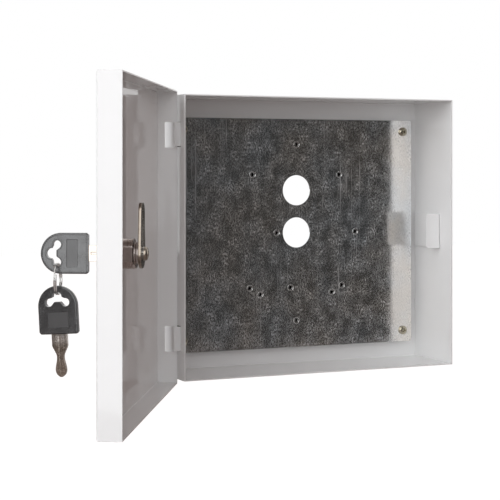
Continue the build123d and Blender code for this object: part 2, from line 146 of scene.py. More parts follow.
# The floor looks brighter to the camera than it is as a source of light for the box.
paper_glow = tree.nodes.new("ShaderNodeEmission")
paper_glow.inputs["Strength"].default_value = 0.9
paper_sum = tree.nodes.new("ShaderNodeAddShader")
paper_ray = tree.nodes.new("ShaderNodeLightPath")
paper_pick = tree.nodes.new("ShaderNodeMixShader")
tree.links.new(paper.outputs[0], paper_sum.inputs[0])
tree.links.new(paper_glow.outputs[0], paper_sum.inputs[1])
connect(tree, paper_ray, "Is Camera Ray", paper_pick, "Fac")
tree.links.new(paper.outputs[0], paper_pick.inputs[1])
tree.links.new(paper_sum.outputs[0], paper_pick.inputs[2])
connect(tree, paper_pick, "Shader", paper_out, "Surface")
floor_mesh.materials.append(floor_paper)


def soft_box(name, place, aim, size, watts, colour, mirrored_too=True):
    """A rectangular studio lamp at a place, turned to an aim point. Size is its width and height."""
    lamp = bpy.data.lights.new(name, "AREA")
    lamp.shape = "RECTANGLE"
    lamp.size, lamp.size_y = size
    lamp.energy = watts
    lamp.color = colour
    holder = bpy.data.objects.new(name, lamp)
    bpy.context.scene.collection.objects.link(holder)
    holder.location = place
    holder.rotation_euler = (Vector(aim) - Vector(place)).to_track_quat("-Z", "Y").to_euler()
    holder.visible_glossy = mirrored_too


BOX_MIDDLE, RIGHT_WALL = (-0.05, -0.05, 0), (0.1, -0.05, 0)
COOL_WHITE = (0.975, 0.988, 1.0)
soft_box("key_light", (-1.34, -1.53, 0.60), BOX_MIDDLE, (0.74, 2.5), 12.4, COOL_WHITE)
soft_box("side_light", (-1.58, -1.29, 0.60), BOX_MIDDLE, (0.6, 2.4), 10.9, (0.965, 0.985, 1.0), False)
soft_box("high_light", (-1.68, -0.42, 1.35), RIGHT_WALL, (0.6, 0.6), 6.0, (0.965, 0.982, 1.0), False)
soft_box("front_light", (-0.62, -1.89, 0.50), BOX_MIDDLE, (0.6, 1.2), 5, COOL_WHITE)


# The housing: back panel and four walls folded from one sheet of 1 mm steel, welded at the corners,
# with the two door hooks bent out of the left wall. It is powder coated white, inside and out.
def eased(node, name, width, body, segments=2, marks=None):
    """A copy of a CAD part with its flat faces merged and its sharp edges rounded, riding on its body.
    Marks is a function that gives the edges their share of the width."""
    mesh = frame["nodes"][node].data.copy()
    work = bmesh.new()
    work.from_mesh(mesh)
    bmesh.ops.remove_doubles(work, verts=work.verts, dist=2e-6)
    bmesh.ops.dissolve_limit(work, angle_limit=math.radians(1), verts=work.verts, edges=work.edges)
    if marks:
        marks(work)
    work.to_mesh(mesh)
    work.free()
    if "custom_normal" in mesh.attributes:
        mesh.attributes.remove(mesh.attributes["custom_normal"])
    mesh.shade_smooth()
    mesh.materials.clear()
    piece = bpy.data.objects.new(name, mesh)
    bpy.context.scene.collection.objects.link(piece)
    rounding = piece.modifiers.new("rounding", "BEVEL")
    rounding.width = width
    rounding.segments = segments
    rounding.limit_method = "WEIGHT" if marks else "ANGLE"
    rounding.angle_limit = math.radians(33)
    rounding.use_clamp_overlap = not marks
    flat_first = piece.modifiers.new("flat_first", "WEIGHTED_NORMAL")
    flat_first.mode = "FACE_AREA_WITH_ANGLE"
    flat_first.weight = 90
    return settled(piece, body, node)


def settled(piece, body, *nodes):
    """Makes the piece a plain mesh with its modifiers applied, and lets it stand for CAD nodes."""
    bpy.context.view_layer.update()
    ready = piece.evaluated_get(bpy.context.evaluated_depsgraph_get())
    mesh = bpy.data.meshes.new_from_object(ready)
    piece.modifiers.clear()
    piece.data = mesh
    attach(piece, body)
    if nodes:
        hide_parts(*nodes)
    return piece


def new_group(name, entries, exits):
    """A shader node group with named entries (name, kind, value) and exits (name, kind)."""
    group = bpy.data.node_groups.new(name, "ShaderNodeTree")
    for label, kind, value in entries:
        socket = group.interface.new_socket(label, in_out="INPUT", socket_type="NodeSocket" + kind)
        socket.default_value = value
    for label, kind in exits:
        group.interface.new_socket(label, in_out="OUTPUT", socket_type="NodeSocket" + kind)
    return group, group.nodes.new("NodeGroupInput"), group.nodes.new("NodeGroupOutput")


def math_node(tree, operation, first, second):
    """A Math node on sockets or numbers; returns its output."""
    node = tree.nodes.new("ShaderNodeMath")
    node.operation = operation
    for entry, value in zip(node.inputs, (first, second)):
        if isinstance(value, bpy.types.NodeSocket):
            tree.links.new(value, entry)
        else:
            entry.default_value = value
    return node.outputs[0]


def noise_node(tree, vector, scale, detail, stretch=None):
    """Noise on a place vector; scale is a number or a socket, stretch squeezes the pattern by axis."""
    if stretch:
        mapping = tree.nodes.new("ShaderNodeMapping")
        mapping.inputs["Scale"].default_value = stretch
        tree.links.new(vector, mapping.inputs["Vector"])
        vector = mapping.outputs["Vector"]
    node = tree.nodes.new("ShaderNodeTexNoise")
    tree.links.new(vector, node.inputs["Vector"])
    if isinstance(scale, bpy.types.NodeSocket):
        tree.links.new(scale, node.inputs["Scale"])
    else:
        node.inputs["Scale"].default_value = scale
    node.inputs["Detail"].default_value = detail
    return node.outputs["Fac"]


def spread(tree, value, low, high, to_low, to_high):
    """Maps a value between two limits to two others, and clamps it there."""
    node = tree.nodes.new("ShaderNodeMapRange")
    tree.links.new(value, node.inputs["Value"])
    for label, number in zip(("From Min", "From Max", "To Min", "To Max"), (low, high, to_low, to_high)):
        node.inputs[label].default_value = number
    return node.outputs["Result"]


# Paint and bare metal share these: slow clouds in the finish, and a fine grain for its relief.
FINISH, entered, left = new_group(
    "finish_unevenness",
    [("Cloud scale", "Float", 25.0), ("Grain scale", "Float", 900.0)],
    [("Clouds", "Float"), ("Grain", "Float")])
place = FINISH.nodes.new("ShaderNodeTexCoord").outputs["Object"]
FINISH.links.new(noise_node(FINISH, place, entered.outputs["Cloud scale"], 3), left.inputs["Clouds"])
FINISH.links.new(noise_node(FINISH, place, entered.outputs["Grain scale"], 2), left.inputs["Grain"])


def use_group(tree, group, **values):
    """Places a group in a material and sets its entries by name, with _ for a space."""
    node = tree.nodes.new("ShaderNodeGroup")
    node.node_tree = group
    for label, value in values.items():
        node.inputs[label.replace("_", " ")].default_value = value
    return node


def shaded(name, **constants):
    """A material with one Principled shader; constants are set on its own sockets."""
    material = bpy.data.materials.new(name)
    material.use_nodes = True
    shader = material.node_tree.nodes["Principled BSDF"]
    for label, value in constants.items():
        shader.inputs[label.replace("_", " ")].default_value = value
    return material, material.node_tree, shader


def two_tones(tree, mask, first, second):
    """A colour that goes from the first to the second as the mask goes from 0 to 1."""
    node = tree.nodes.new("ShaderNodeMix")
    node.data_type = "RGBA"
    tree.links.new(mask, node.inputs["Factor"])
    node.inputs["A"].default_value = (*first, 1)
    node.inputs["B"].default_value = (*second, 1)
    return node.outputs["Result"]


def relief(tree, height, shader, depth, strength):
    """A bump of a real depth in metres on the shader's normal."""
    node = tree.nodes.new("ShaderNodeBump")
    node.inputs["Strength"].default_value = strength
    node.inputs["Distance"].default_value = depth
    tree.links.new(height, node.inputs["Height"])
    tree.links.new(node.outputs["Normal"], shader.inputs["Normal"])


white_coat, tree, coat = shaded("white_powder_coat", Specular_IOR_Level=0.5)
skin = use_group(tree, FINISH, Cloud_scale=22.0, Grain_scale=620.0)
tree.links.new(two_tones(tree, skin.outputs["Clouds"], (0.845, 0.842, 0.838), (0.885, 0.884, 0.882)),
               coat.inputs["Base Color"])
tree.links.new(spread(tree, skin.outputs["Clouds"], 0.3, 0.7, 0.03, 0.06), coat.inputs["Roughness"])
relief(tree, skin.outputs["Grain"], coat, 0.000008, 0.2)


def finished(piece, material):
    """Gives a piece its one material and the record's finish that it stands for."""
    piece.data.materials.clear()
    piece.data.materials.append(material)
    return piece


EDGE_R = 0.00022
finished(eased("housing", "coated_housing", EDGE_R, "box"), white_coat)


# The catch: a folded strip of the same coated steel, spot welded to the right wall by its leg. Its lip
# stands across the way of the cam, which turns in behind it when the door is locked.
finished(eased("strike_bracket", "cam_catch", EDGE_R, "box"), white_coat)


# The mounting plate: bare galvanised sheet, sheared and punched, that carries the keypad. Its zinc is
# dull and mottled, with rub marks from the mill and the press, and bright enough to mirror the wall.
plated, tree, zinc = shaded("galvanised_sheet", Metallic=1.0)
SCRATCHES, entered, left = new_group(
    "rub_marks",
    [("Scale", "Float", 1.0), ("Amount", "Float", 0.5)],
    [("Marks", "Float")])
spot = SCRATCHES.nodes.new("ShaderNodeTexCoord").outputs["Object"]
lengthwise = noise_node(SCRATCHES, spot, entered.outputs["Scale"], 2, stretch=(1300, 1300, 8))
patches = noise_node(SCRATCHES, spot, entered.outputs["Scale"], 2, stretch=(28, 28, 10))
marks = spread(SCRATCHES, lengthwise, 0.60, 0.68, 0.0, 1.0)
marks = math_node(SCRATCHES, "MULTIPLY", marks, spread(SCRATCHES, patches, 0.42, 0.60, 0.0, 1.0))
marks = math_node(SCRATCHES, "MULTIPLY", marks, entered.outputs["Amount"])
SCRATCHES.links.new(marks, left.inputs["Marks"])
rubbed = use_group(tree, SCRATCHES, Scale=1.0, Amount=1.0)
spot = tree.nodes.new("ShaderNodeTexCoord").outputs["Object"]
speckle = noise_node(tree, spot, 1.0, 4, stretch=(900, 900, 520))
blotches = noise_node(tree, spot, 1.0, 4, stretch=(120, 120, 90))
drifts = noise_node(tree, spot, 1.0, 3, stretch=(26, 26, 20))
grain = spread(tree, speckle, 0.38, 0.70, 0.0, 1.1)
blotch = spread(tree, blotches, 0.34, 0.66, 0.30, 1.35)
drift = spread(tree, drifts, 0.36, 0.64, 0.0, 1.0)
bloom = math_node(tree, "MULTIPLY", grain, blotch)
bloom = math_node(tree, "MAXIMUM", bloom, math_node(tree, "MULTIPLY", rubbed.outputs["Marks"], 1.1))
tree.links.new(two_tones(tree, drift, (0.94, 0.905, 0.86), (0.88, 0.92, 0.95)), zinc.inputs["Base Color"])
tree.links.new(spread(tree, bloom, 0.05, 1.3, 1.0, 0.64), zinc.inputs["Metallic"])
tree.links.new(spread(tree, bloom, 0.0, 1.0, 0.11, 0.20), zinc.inputs["Roughness"])
relief(tree, bloom, zinc, 0.00002, 0.30)
finished(eased("mounting_plate", "keypad_plate", 0.00012, "box"), plated)


# Four hexagonal steel posts, tapped for the plate's screws, zinc plated and pressed into the back
# panel. They hold the plate 8 mm off it.
def even_metal(name, cloud_scale, grain_scale, dark, light, smooth, rough, rough_by="Grain"):
    """A plated or bare metal, whose colour and gloss change a little from place to place."""
    material, tree, metal = shaded(name, Metallic=1.0)
    skin = use_group(tree, FINISH, Cloud_scale=cloud_scale, Grain_scale=grain_scale)
    tree.links.new(two_tones(tree, skin.outputs["Clouds"], dark, light), metal.inputs["Base Color"])
    tree.links.new(spread(tree, skin.outputs[rough_by], 0.3, 0.7, smooth, rough), metal.inputs["Roughness"])
    return material, tree, metal, skin


posts = even_metal("plated_posts", 180.0, 3000.0, (0.50, 0.49, 0.47), (0.66, 0.65, 0.62), 0.24, 0.40,
                   "Clouds")[0]
finished(eased("plate_standoffs", "hex_posts", 0.0002, "box"), posts)


# The plate's four M4 pan-head screws: steel with a yellow zinc finish, cold headed, with a tapered
# cross recess. One head is turned here, and a node tree sets four of them at the plate's corners.
def turned(name, outline, sides=48):
    """A solid turned about Z from an outline of (radius, height) points, from axis to axis."""
    work = bmesh.new()
    rings = []
    for radius, rise in outline:
        if radius < 1e-7:
            rings.append([work.verts.new((0, 0, rise))])
        else:
            turns = [2 * math.pi * i / sides for i in range(sides)]
            around = [(radius * math.cos(turn), radius * math.sin(turn), rise) for turn in turns]
            rings.append([work.verts.new(point) for point in around])
    for lower, upper in zip(rings, rings[1:]):
        for i in range(sides):
            j = (i + 1) % sides
            corners = [ring[k % len(ring)] for ring, k in ((lower, i), (lower, j), (upper, j), (upper, i))]
            kept = list(dict.fromkeys(corners))
            if len(kept) > 2:
                work.faces.new(kept)
    bmesh.ops.recalc_face_normals(work, faces=work.faces)
    mesh = bpy.data.meshes.new(name)
    work.to_mesh(mesh)
    work.free()
    piece = bpy.data.objects.new(name, mesh)
    bpy.context.scene.collection.objects.link(piece)
    return piece


def cross_cutter(width, length, depth):
    """A cross-shaped punch that narrows downwards, with its open end on Z = 0."""
    work = bmesh.new()
    for turn in (0, 90):
        block = bmesh.ops.create_cube(work, size=1.0)["verts"]
        for vert in block:
            shorter, thinner, rise = (0.55, 0.8, -depth) if vert.co.z < 0 else (1.0, 1.0, depth)
            vert.co = (vert.co.x * length * shorter, vert.co.y * width * thinner, rise)
        bmesh.ops.rotate(work, verts=block, cent=(0, 0, 0),
                         matrix=Matrix.Rotation(math.radians(turn), 3, "Z"))
    mesh = bpy.data.meshes.new("cross")
    work.to_mesh(mesh)
    work.free()
    cutter = bpy.data.objects.new("cross", mesh)
    bpy.context.scene.collection.objects.link(cutter)
    return cutter


def cut_from(piece, cutter, place):
    """Cuts a punch out of a piece, with the punch put at a place first, and removes the punch."""
    cutter.data.transform(place)
    cut = piece.modifiers.new("cut", "BOOLEAN")
    cut.operation = "DIFFERENCE"
    cut.solver = "EXACT"
    cut.use_self = True
    cut.object = cutter
    bpy.context.view_layer.update()
    ready = piece.evaluated_get(bpy.context.evaluated_depsgraph_get())
    piece.data = bpy.data.meshes.new_from_object(ready)
    piece.modifiers.clear()
    bpy.data.objects.remove(cutter)
    return piece


def pan_head_screw(name, head_r, head_h, shank_r, shank_l):
    """A pan-head screw along Z: the head's seat is on Z = 0, its top is domed, the shank points down."""
    dome = [(head_r * math.cos(a), head_h * (0.42 + 0.58 * math.sin(a)))
            for a in (math.radians(step) for step in range(0, 91, 10))]
    outline = [(0, -shank_l), (shank_r * 0.8, -shank_l), (shank_r, -shank_l + shank_r * 0.3), (shank_r, 0),
               (head_r * 0.96, 0), (head_r, head_h * 0.04)] + dome
    outline[-1] = (0, head_h)
    screw = turned(name, outline)
    screw = cut_from(screw, cross_cutter(head_r * 0.30, head_r * 1.2, head_h * 0.62),
                     Matrix.Translation((0, 0, head_h * 0.98)))
    screw.data.shade_smooth()
    screw.data.set_sharp_from_angle(angle=math.radians(38))
    return screw


def node_tree(name, entries):
    """A geometry node tree with named entries (name, kind, value) and one geometry exit."""
    tree = bpy.data.node_groups.new(name, "GeometryNodeTree")
    tree.interface.new_socket("Geometry", in_out="OUTPUT", socket_type="NodeSocketGeometry")
    for label, kind, value in entries:
        socket = tree.interface.new_socket(label, in_out="INPUT", socket_type="NodeSocket" + kind)
        if value is not None:
            socket.default_value = value
    return tree, tree.nodes.new("NodeGroupInput"), tree.nodes.new("NodeGroupOutput")


def finish_tree(tree, source, output, given, out):
    """Ends a tree: its instances become real, and get the material that was entered as Finish."""
    real = tree.nodes.new("GeometryNodeRealizeInstances")
    dress = tree.nodes.new("GeometryNodeSetMaterial")
    connect(tree, source, output, real, "Geometry")
    connect(tree, real, "Geometry", dress, "Geometry")
    connect(tree, given, "Finish", dress, "Material")
    connect(tree, dress, "Geometry", out, "Geometry")


def grown(name, tree, body, *nodes, points=(), **values):
    """An object made by a node tree with the given entries, put to its body as a plain mesh.
    The tree's own geometry entry, if it has one, gets the points."""
    mesh = bpy.data.meshes.new(name)
    mesh.from_pydata(points, [], [])
    piece = bpy.data.objects.new(name, mesh)
    bpy.context.scene.collection.objects.link(piece)
    modifier = piece.modifiers.new("grown", "NODES")
    modifier.node_group = tree
    for item in tree.interface.items_tree:
        label = item.name.replace(" ", "_")
        if item.in_out == "INPUT" and label in values:
            modifier[item.identifier] = values[label]
    return settled(piece, body, *nodes)


screw_set, given, out = node_tree("screws_on_a_rectangle", [
    ("Screw", "Object", None), ("Finish", "Material", None), ("Width", "Float", 0.2),
    ("Height", "Float", 0.17), ("Depth", "Float", -0.01), ("Middle", "Float", 0.0), ("Seed", "Int", 3)])
corners = screw_set.nodes.new("GeometryNodeMeshGrid")
corners.inputs["Vertices X"].default_value = 2
corners.inputs["Vertices Y"].default_value = 2
connect(screw_set, given, "Width", corners, "Size X")
connect(screw_set, given, "Height", corners, "Size Y")
upright = screw_set.nodes.new("GeometryNodeTransform")
upright.inputs["Rotation"].default_value = (math.radians(90), 0, 0)
connect(screw_set, corners, "Mesh", upright, "Geometry")
offset = screw_set.nodes.new("ShaderNodeCombineXYZ")
connect(screw_set, given, "Depth", offset, "Y")
connect(screw_set, given, "Middle", offset, "Z")
connect(screw_set, offset, "Vector", upright, "Translation")
picked = screw_set.nodes.new("GeometryNodeObjectInfo")
connect(screw_set, given, "Screw", picked, "Object")
turn = screw_set.nodes.new("FunctionNodeRandomValue")
turn.data_type = "FLOAT"
connect(screw_set, given, "Seed", turn, "Seed")
turn_value = next(socket for socket in turn.outputs if socket.enabled)
HALF_TURN = 3.14
for socket in turn.inputs:
    if socket.name == "Max" and socket.enabled:
        socket.default_value = HALF_TURN
turn_axes = screw_set.nodes.new("ShaderNodeCombineXYZ")
turn_axes.inputs["X"].default_value = math.radians(90)
screw_set.links.new(turn_value, turn_axes.inputs["Y"])
set_in = screw_set.nodes.new("GeometryNodeInstanceOnPoints")
connect(screw_set, upright, "Geometry", set_in, "Points")
connect(screw_set, picked, "Geometry", set_in, "Instance")
connect(screw_set, turn_axes, "Vector", set_in, "Rotation")
finish_tree(screw_set, set_in, "Instances", given, out)

brassy, tree, metal, skin = even_metal(
    "yellow_zinc", 420.0, 5200.0, (0.40, 0.36, 0.27), (0.62, 0.58, 0.47), 0.12, 0.22)
relief(tree, skin.outputs["Grain"], metal, 0.00001, 0.3)

plate_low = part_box("mounting_plate")[0]
screw_low, screw_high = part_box("plate_screws")
SCREW_HEAD_R, SCREW_HEAD_H, M4_R, SCREW_L = 0.0037, 0.0024, 0.00195, 0.0086
pattern_screw = pan_head_screw("screw_pattern", SCREW_HEAD_R, SCREW_HEAD_H, M4_R, SCREW_L)
plate_screws = grown(
    "yellow_pan_screws", screw_set, "box", "plate_screws", Screw=pattern_screw, Finish=brassy,
    Width=screw_high.x - screw_low.x - 2 * SCREW_HEAD_R,
    Height=screw_high.z - screw_low.z - 2 * SCREW_HEAD_R, Depth=plate_low.y,
    Middle=(screw_low.z + screw_high.z) / 2, Seed=5)
bpy.data.objects.remove(pattern_screw)


# The keypad's eleven fixing holes are punched and drawn: each has a rolled lip in front and a short
# collar behind the plate for its screw's thread, its bore painted dark as painted shade. A node tree sets
# one at each.
collar_set, given, out = node_tree("drawn_collars", [
    ("Geometry", "Geometry", None), ("Finish", "Material", None), ("Radius", "Float", 0.0026),
    ("Wall", "Float", 0.0010), ("Length", "Float", 0.0053)])
round_line = collar_set.nodes.new("GeometryNodeCurvePrimitiveCircle")
round_line.inputs["Resolution"].default_value = 28
connect(collar_set, given, "Radius", round_line, "Radius")
# The collar's wall in section, in shares of its thickness and its length.
wall = collar_set.nodes.new("GeometryNodeCurvePrimitiveQuadrilateral")
wall.mode = "POINTS"
for label, place in (("Point 1", (0.0, 0.0, 0.0)), ("Point 2", (-1.0, 0.11, 0.0)),
                     ("Point 3", (-1.0, 1.0, 0.0)), ("Point 4", (-0.6, 1.0, 0.0))):
    wall.inputs[label].default_value = place
sized = collar_set.nodes.new("GeometryNodeTransform")
wall_size = collar_set.nodes.new("ShaderNodeCombineXYZ")
connect(collar_set, given, "Wall", wall_size, "X")
connect(collar_set, given, "Length", wall_size, "Y")
wall_size.inputs["Z"].default_value = 1.0
connect(collar_set, wall_size, "Vector", sized, "Scale")
connect(collar_set, wall, "Curve", sized, "Geometry")
collar = collar_set.nodes.new("GeometryNodeCurveToMesh")
connect(collar_set, round_line, "Curve", collar, "Curve")
connect(collar_set, sized, "Geometry", collar, "Profile Curve")
set_in = collar_set.nodes.new("GeometryNodeInstanceOnPoints")
set_in.inputs["Rotation"].default_value = (math.radians(90), 0, 0)
connect(collar_set, given, "Geometry", set_in, "Points")
connect(collar_set, collar, "Mesh", set_in, "Instance")
finish_tree(collar_set, set_in, "Instances", given, out)

drawn, tree, metal = shaded("drawn_steel", Metallic=1.0)
split = tree.nodes.new("ShaderNodeSeparateXYZ")
tree.links.new(tree.nodes.new("ShaderNodeTexCoord").outputs["Object"], split.inputs["Vector"])
# The bore's colour runs from the lip's bright plating to near black deeper in: painted shade inside the
# hole.
BARE_TO, SHADE_FROM, LIP_PROUD = 0.0006, 0.0016, 0.00012
depth = spread(tree, split.outputs["Y"], plate_low.y + BARE_TO, plate_low.y + SHADE_FROM, 0.0, 1.0)
tree.links.new(two_tones(tree, depth, (0.92, 0.91, 0.89), (0.035, 0.03, 0.028)), metal.inputs["Base Color"])
tree.links.new(spread(tree, depth, 0.0, 1.0, 0.22, 0.45), metal.inputs["Roughness"])
MM = 0.001
hole_places = [(0, 73), (0, -73), (-5.5, -45.5), (-18.25, 0), (55.25, 0)]
hole_places += [(side * x, z) for side in (-1, 1) for x, z in ((40, 48), (42.5, -45), (33, -50.5))]
collars = grown("drawn_collars", collar_set, "box", Finish=drawn,
                Radius=0.0026, Wall=0.0010, Length=0.0053,
                points=[(x * MM, plate_low.y - LIP_PROUD, z * MM) for x, z in hole_places])
collars.data.shade_smooth()
collars.data.set_sharp_from_angle(angle=math.radians(30))


# The door: a shallow pan of the same sheet, welded at the corners and coated like the housing. Two
# slots in its hinge side hang on the hooks, and a hole with two flats takes the lock.
finished(eased("door_panel", "coated_door", EDGE_R, "door"), white_coat)


# The lock's barrel, a nickel-plated zinc casting: a domed bezel in front of the door, a thread with two
# milled flats behind it, and half a ring standing on its rear end that stops the plug's turn.
def frame_at(origin, x_axis, z_axis):
    """A place whose X and Z axes point along two given directions."""
    x_axis, z_axis = Vector(x_axis).normalized(), Vector(z_axis).normalized()
    y_axis = z_axis.cross(x_axis)
    turn = Matrix((x_axis, y_axis, z_axis)).transposed().to_4x4()
    return Matrix.Translation(origin) @ turn


def loop_mesh(name, rows):
    """A closed skin from rows of points that each go once round; the last row joins the first."""
    work = bmesh.new()
    rings = [[work.verts.new(point) for point in row] for row in rows]
    count = len(rows[0])
    for lower, upper in zip(rings, rings[1:] + rings[:1]):
        for i in range(count):
            j = (i + 1) % count
            work.faces.new((lower[i], lower[j], upper[j], upper[i]))
    bmesh.ops.remove_doubles(work, verts=work.verts, dist=1e-6)
    bmesh.ops.recalc_face_normals(work, faces=work.faces)
    mesh = bpy.data.meshes.new(name)
    work.to_mesh(mesh)
    work.free()
    mesh.shade_smooth()
    mesh.set_sharp_from_angle(angle=math.radians(35))
    piece = bpy.data.objects.new(name, mesh)
    bpy.context.scene.collection.objects.link(piece)
    return piece


JOINTS = {joint["name"]: joint for joint in frame["joints"]}
lock_axis = Vector(JOINTS["lock_turn"]["axis"])
across_door = lock_axis.cross(Vector((0, 0, 1))) * -1
LOCK_PLACE = frame_at(Vector(JOINTS["lock_turn"]["pos_m"]), across_door, lock_axis)
# The barrel's sizes in millimetres. Heights are counted inwards from the inner face of the door's sheet.
THREAD_R, THREAD_DEPTH, THREAD_PITCH, FLAT_HALF = 9.88, 0.42, 1.0, 8.38
THREAD_STEP, THREAD_ROWS = 0.16, 109
BORE_R, MOUTH_R, MOUTH_EDGE_R, MOUTH_FLOOR, MOUTH_RIM = 6.25, 8.06, 8.2, -1.35, -3.05
BEZEL_TOP, BEZEL_TOP_R, BEZEL_R, BEZEL_REAR = -3.2, 9.9, 11.6, -1.02
SHOULDER_AXIS_R, SHOULDER_Z, SHOULDER_R, SHOULDER_H = 10.0, -1.9, 1.6, 1.3
BARREL_END, STOP_IN_R, STOP_OUT_R, STOP_H = 16.4, 7.6, 9.5, 1.2
STOP_FROM, STOP_TO = -135.0, 45.0
angles = sorted([2.5 * step - 180 for step in range(144)] + [STOP_FROM + 0.1, STOP_TO + 0.1])


def flat_sided(radius, angle):
    """A radius about the lock's axis, cut back by the barrel's two flats."""
    return min(radius, FLAT_HALF / max(abs(math.cos(math.radians(angle))), 1e-6))


def thread_r(z, angle):
    """Distance of the barrel's skin from its axis: the thread's flank, cut back by the flats."""
    wave = abs(2 * ((z / THREAD_PITCH - angle / 360) % 1) - 1)
    cut = min(max(1.5 * wave - 0.25, 0), 1)
    return flat_sided(THREAD_R - THREAD_DEPTH * cut, angle)


def ring_row(radius, z):
    """One row of points; radius and z are numbers, or are worked out from the angle."""
    row = []
    for angle in angles:
        r = radius(angle) if callable(radius) else radius
        h = z(angle) if callable(z) else z
        way = math.radians(angle)
        row.append((r * math.cos(way) * MM, r * math.sin(way) * MM, h * MM))
    return row


def stop_z(angle):
    """Height of the barrel's end, with the stop on half of it."""
    return BARREL_END + (STOP_H if STOP_FROM < angle <= STOP_TO else 0)


rows = [ring_row(BORE_R, BARREL_END), ring_row(BORE_R, MOUTH_FLOOR), ring_row(MOUTH_R, MOUTH_FLOOR),
        ring_row(MOUTH_R, MOUTH_RIM), ring_row(MOUTH_EDGE_R, BEZEL_TOP), ring_row(BEZEL_TOP_R, BEZEL_TOP)]
rows += [ring_row(SHOULDER_AXIS_R + SHOULDER_R * math.sin(a), SHOULDER_Z - SHOULDER_H * math.cos(a))
         for a in (math.radians(step) for step in range(10, 91, 10))]
rows += [ring_row(BEZEL_R, BEZEL_REAR)]
for step in range(THREAD_ROWS):
    rise = BEZEL_REAR + step * THREAD_STEP
    rows.append(ring_row(lambda angle, rise=rise: thread_r(rise, angle), rise))
rows += [ring_row(lambda angle: flat_sided(STOP_OUT_R, angle), BARREL_END),
         ring_row(lambda angle: flat_sided(STOP_OUT_R, angle), stop_z),
         ring_row(STOP_IN_R, stop_z), ring_row(STOP_IN_R, BARREL_END)]
barrel = loop_mesh("threaded_barrel", rows)
barrel.data.transform(LOCK_PLACE)
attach(barrel, "door")
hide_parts("lock_housing")

nickel, tree, metal, skin = even_metal(
    "nickel_plate", 300.0, 4000.0, (0.46, 0.40, 0.375), (0.68, 0.61, 0.575), 0.16, 0.30)
relief(tree, skin.outputs["Clouds"], metal, 0.00004, 0.4)
finished(barrel, nickel)


# The washer under the nut: thin spring steel, zinc plated, with twelve twisted teeth that bite into
# the coat so that the lock can't turn in its hole. A node tree sets the teeth round the ring.
TEETH_R, TEETH_SIZE, BAND_R, BAND_W, BAND_H = 0.0118, (0.0024, 0.0026, 0.0005), 0.01085, 0.0017, 0.0006
tooth_ring, given, out = node_tree("toothed_washer", [
    ("Finish", "Material", None), ("Teeth", "Int", 12), ("Radius", "Float", TEETH_R),
    ("Twist", "Float", 0.16)])
round_line = tooth_ring.nodes.new("GeometryNodeMeshCircle")
connect(tooth_ring, given, "Teeth", round_line, "Vertices")
connect(tooth_ring, given, "Radius", round_line, "Radius")
tooth = tooth_ring.nodes.new("GeometryNodeMeshCube")
tooth.inputs["Size"].default_value = TEETH_SIZE
index = tooth_ring.nodes.new("GeometryNodeInputIndex")
angle_step = math_node(tooth_ring, "DIVIDE", 2 * math.pi, given.outputs["Teeth"])
tooth_angle = math_node(tooth_ring, "MULTIPLY", index.outputs[0], angle_step)
tooth_turn = tooth_ring.nodes.new("ShaderNodeCombineXYZ")
connect(tooth_ring, given, "Twist", tooth_turn, "X")
tooth_ring.links.new(tooth_angle, tooth_turn.inputs["Z"])
teeth = tooth_ring.nodes.new("GeometryNodeInstanceOnPoints")
connect(tooth_ring, round_line, "Mesh", teeth, "Points")
connect(tooth_ring, tooth, "Mesh", teeth, "Instance")
connect(tooth_ring, tooth_turn, "Vector", teeth, "Rotation")
flat_ring = tooth_ring.nodes.new("GeometryNodeCurvePrimitiveCircle")
flat_ring.inputs["Radius"].default_value = BAND_R
flat_ring.inputs["Resolution"].default_value = 96
strip = tooth_ring.nodes.new("GeometryNodeCurvePrimitiveQuadrilateral")
strip.inputs["Width"].default_value = BAND_W
strip.inputs["Height"].default_value = BAND_H
band = tooth_ring.nodes.new("GeometryNodeCurveToMesh")
connect(tooth_ring, flat_ring, "Curve", band, "Curve")
connect(tooth_ring, strip, "Curve", band, "Profile Curve")
together = tooth_ring.nodes.new("GeometryNodeJoinGeometry")
connect(tooth_ring, teeth, "Instances", together, "Geometry")
connect(tooth_ring, band, "Mesh", together, "Geometry")
finish_tree(tooth_ring, together, "Geometry", given, out)

WASHER_MIDDLE_Z = 0.0004
washer = grown("toothed_lock_washer", tooth_ring, "door", "nut_washer", Finish=posts, Teeth=12,
               Radius=TEETH_R, Twist=0.16)
washer.data.transform(LOCK_PLACE @ Matrix.Translation((0, 0, WASHER_MIDDLE_Z)))


# The thin hexagon nut that clamps the barrel to the door: die-cast zinc, nickel plated, its corners
# chamfered. It is turned home against the toothed washer from inside the door.
finished(eased("lock_nut", "hexagon_nut", 0.00025, "door"), nickel)


# The plug, the part that the key turns: nickel plated, with a wide mouth for the key, slots for the
# wafers, and a square end behind the barrel.
finished(eased("lock_plug", "turning_plug", 0.00015, "plug"), nickel)


# Five wafers stamped from brass sheet, that slide up and down in the plug's slots. The key's cuts hold
# them flush with the plug, so that it can turn.
brass = even_metal("wafer_brass", 500.0, 5000.0, (0.62, 0.46, 0.20), (0.80, 0.63, 0.33), 0.25, 0.40)[0]
finished(eased("lock_wafers", "brass_wafers", 0.0001, "plug"), brass)


# The stop washer, the plain ring behind it and the cam: punched steel, nickel plated over the press
# marks, all on the plug's square end. The washer's lug meets the barrel's stop at both ends of the turn.
def rubbed_metal(name, skin_scales, mark_scale, mark_amount, tones, rough, depth, strength):
    """A plated metal with clouds and rub marks in its colour, gloss and relief.
    Rough has the tone at which the gloss stops changing, then the least and the greatest roughness."""
    material, tree, metal = shaded(name, Metallic=1.0)
    skin = use_group(tree, FINISH, Cloud_scale=skin_scales[0], Grain_scale=skin_scales[1])
    rubbed = use_group(tree, SCRATCHES, Scale=mark_scale, Amount=mark_amount)
    tone = math_node(tree, "ADD", skin.outputs["Clouds"], rubbed.outputs["Marks"])
    tree.links.new(two_tones(tree, tone, *tones), metal.inputs["Base Color"])
    tree.links.new(spread(tree, tone, 0.3, *rough), metal.inputs["Roughness"])
    relief(tree, tone, metal, depth, strength)
    return material
